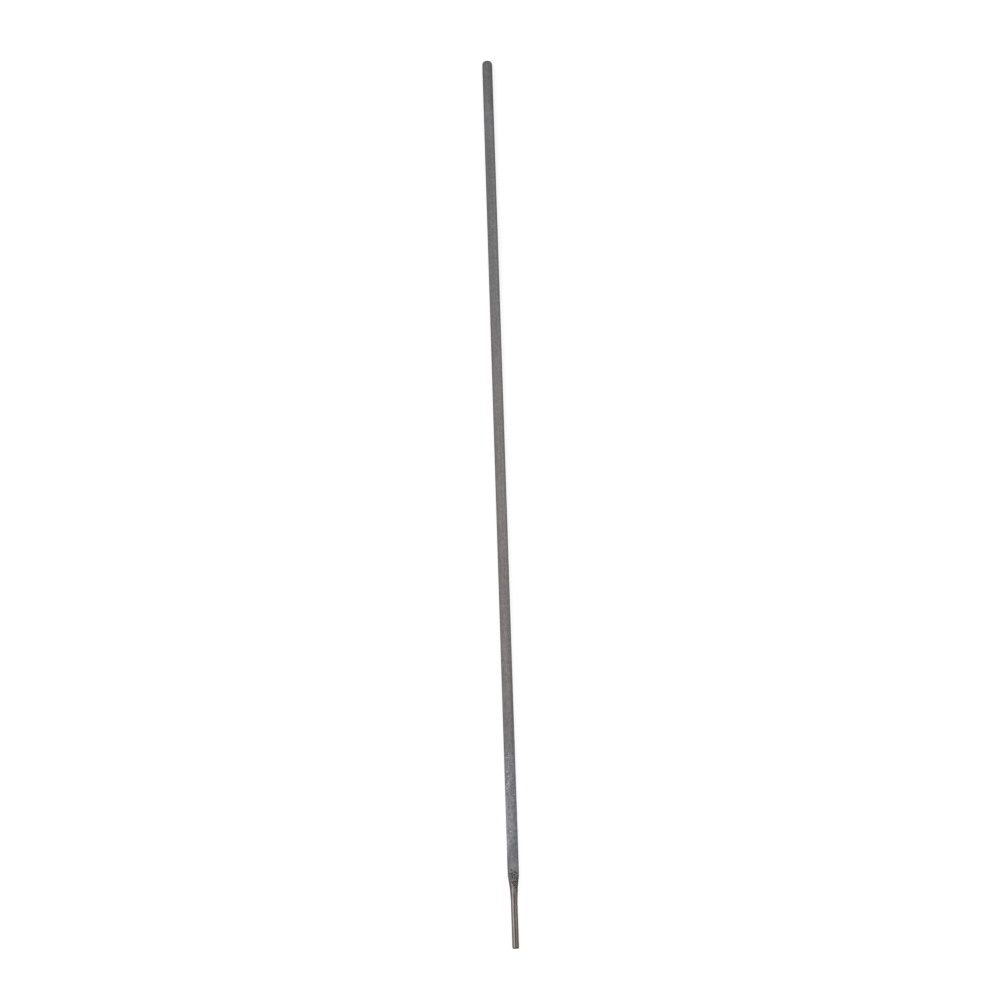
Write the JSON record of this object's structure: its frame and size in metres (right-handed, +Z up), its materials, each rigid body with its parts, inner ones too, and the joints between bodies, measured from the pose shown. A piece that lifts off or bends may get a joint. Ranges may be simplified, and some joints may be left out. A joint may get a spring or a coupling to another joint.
{
  "type": "stick welding electrode",
  "caption": "Straight drawn steel core wire in a matte grey extruded flux coating, bare and tapered at the grip end, rounded at the strike end.",
  "frame": {"origin": "on the rod's axis, at the middle of the bare grip, where a holder's jaws close", "axes": "+Y along the rod from the grip end to the strike end, +Z up as the rod lies, +X to the right"},
  "size_m": [0.004, 0.3556, 0.004],
  "materials": {
    "core_wire": "drawn and brushed",
    "flux_coating": "matte baked mineral"
  },
  "bodies": {
    "root": {"core_wire": "core_wire", "flux_coating": "flux_coating"}
  },
  "joints": []
}
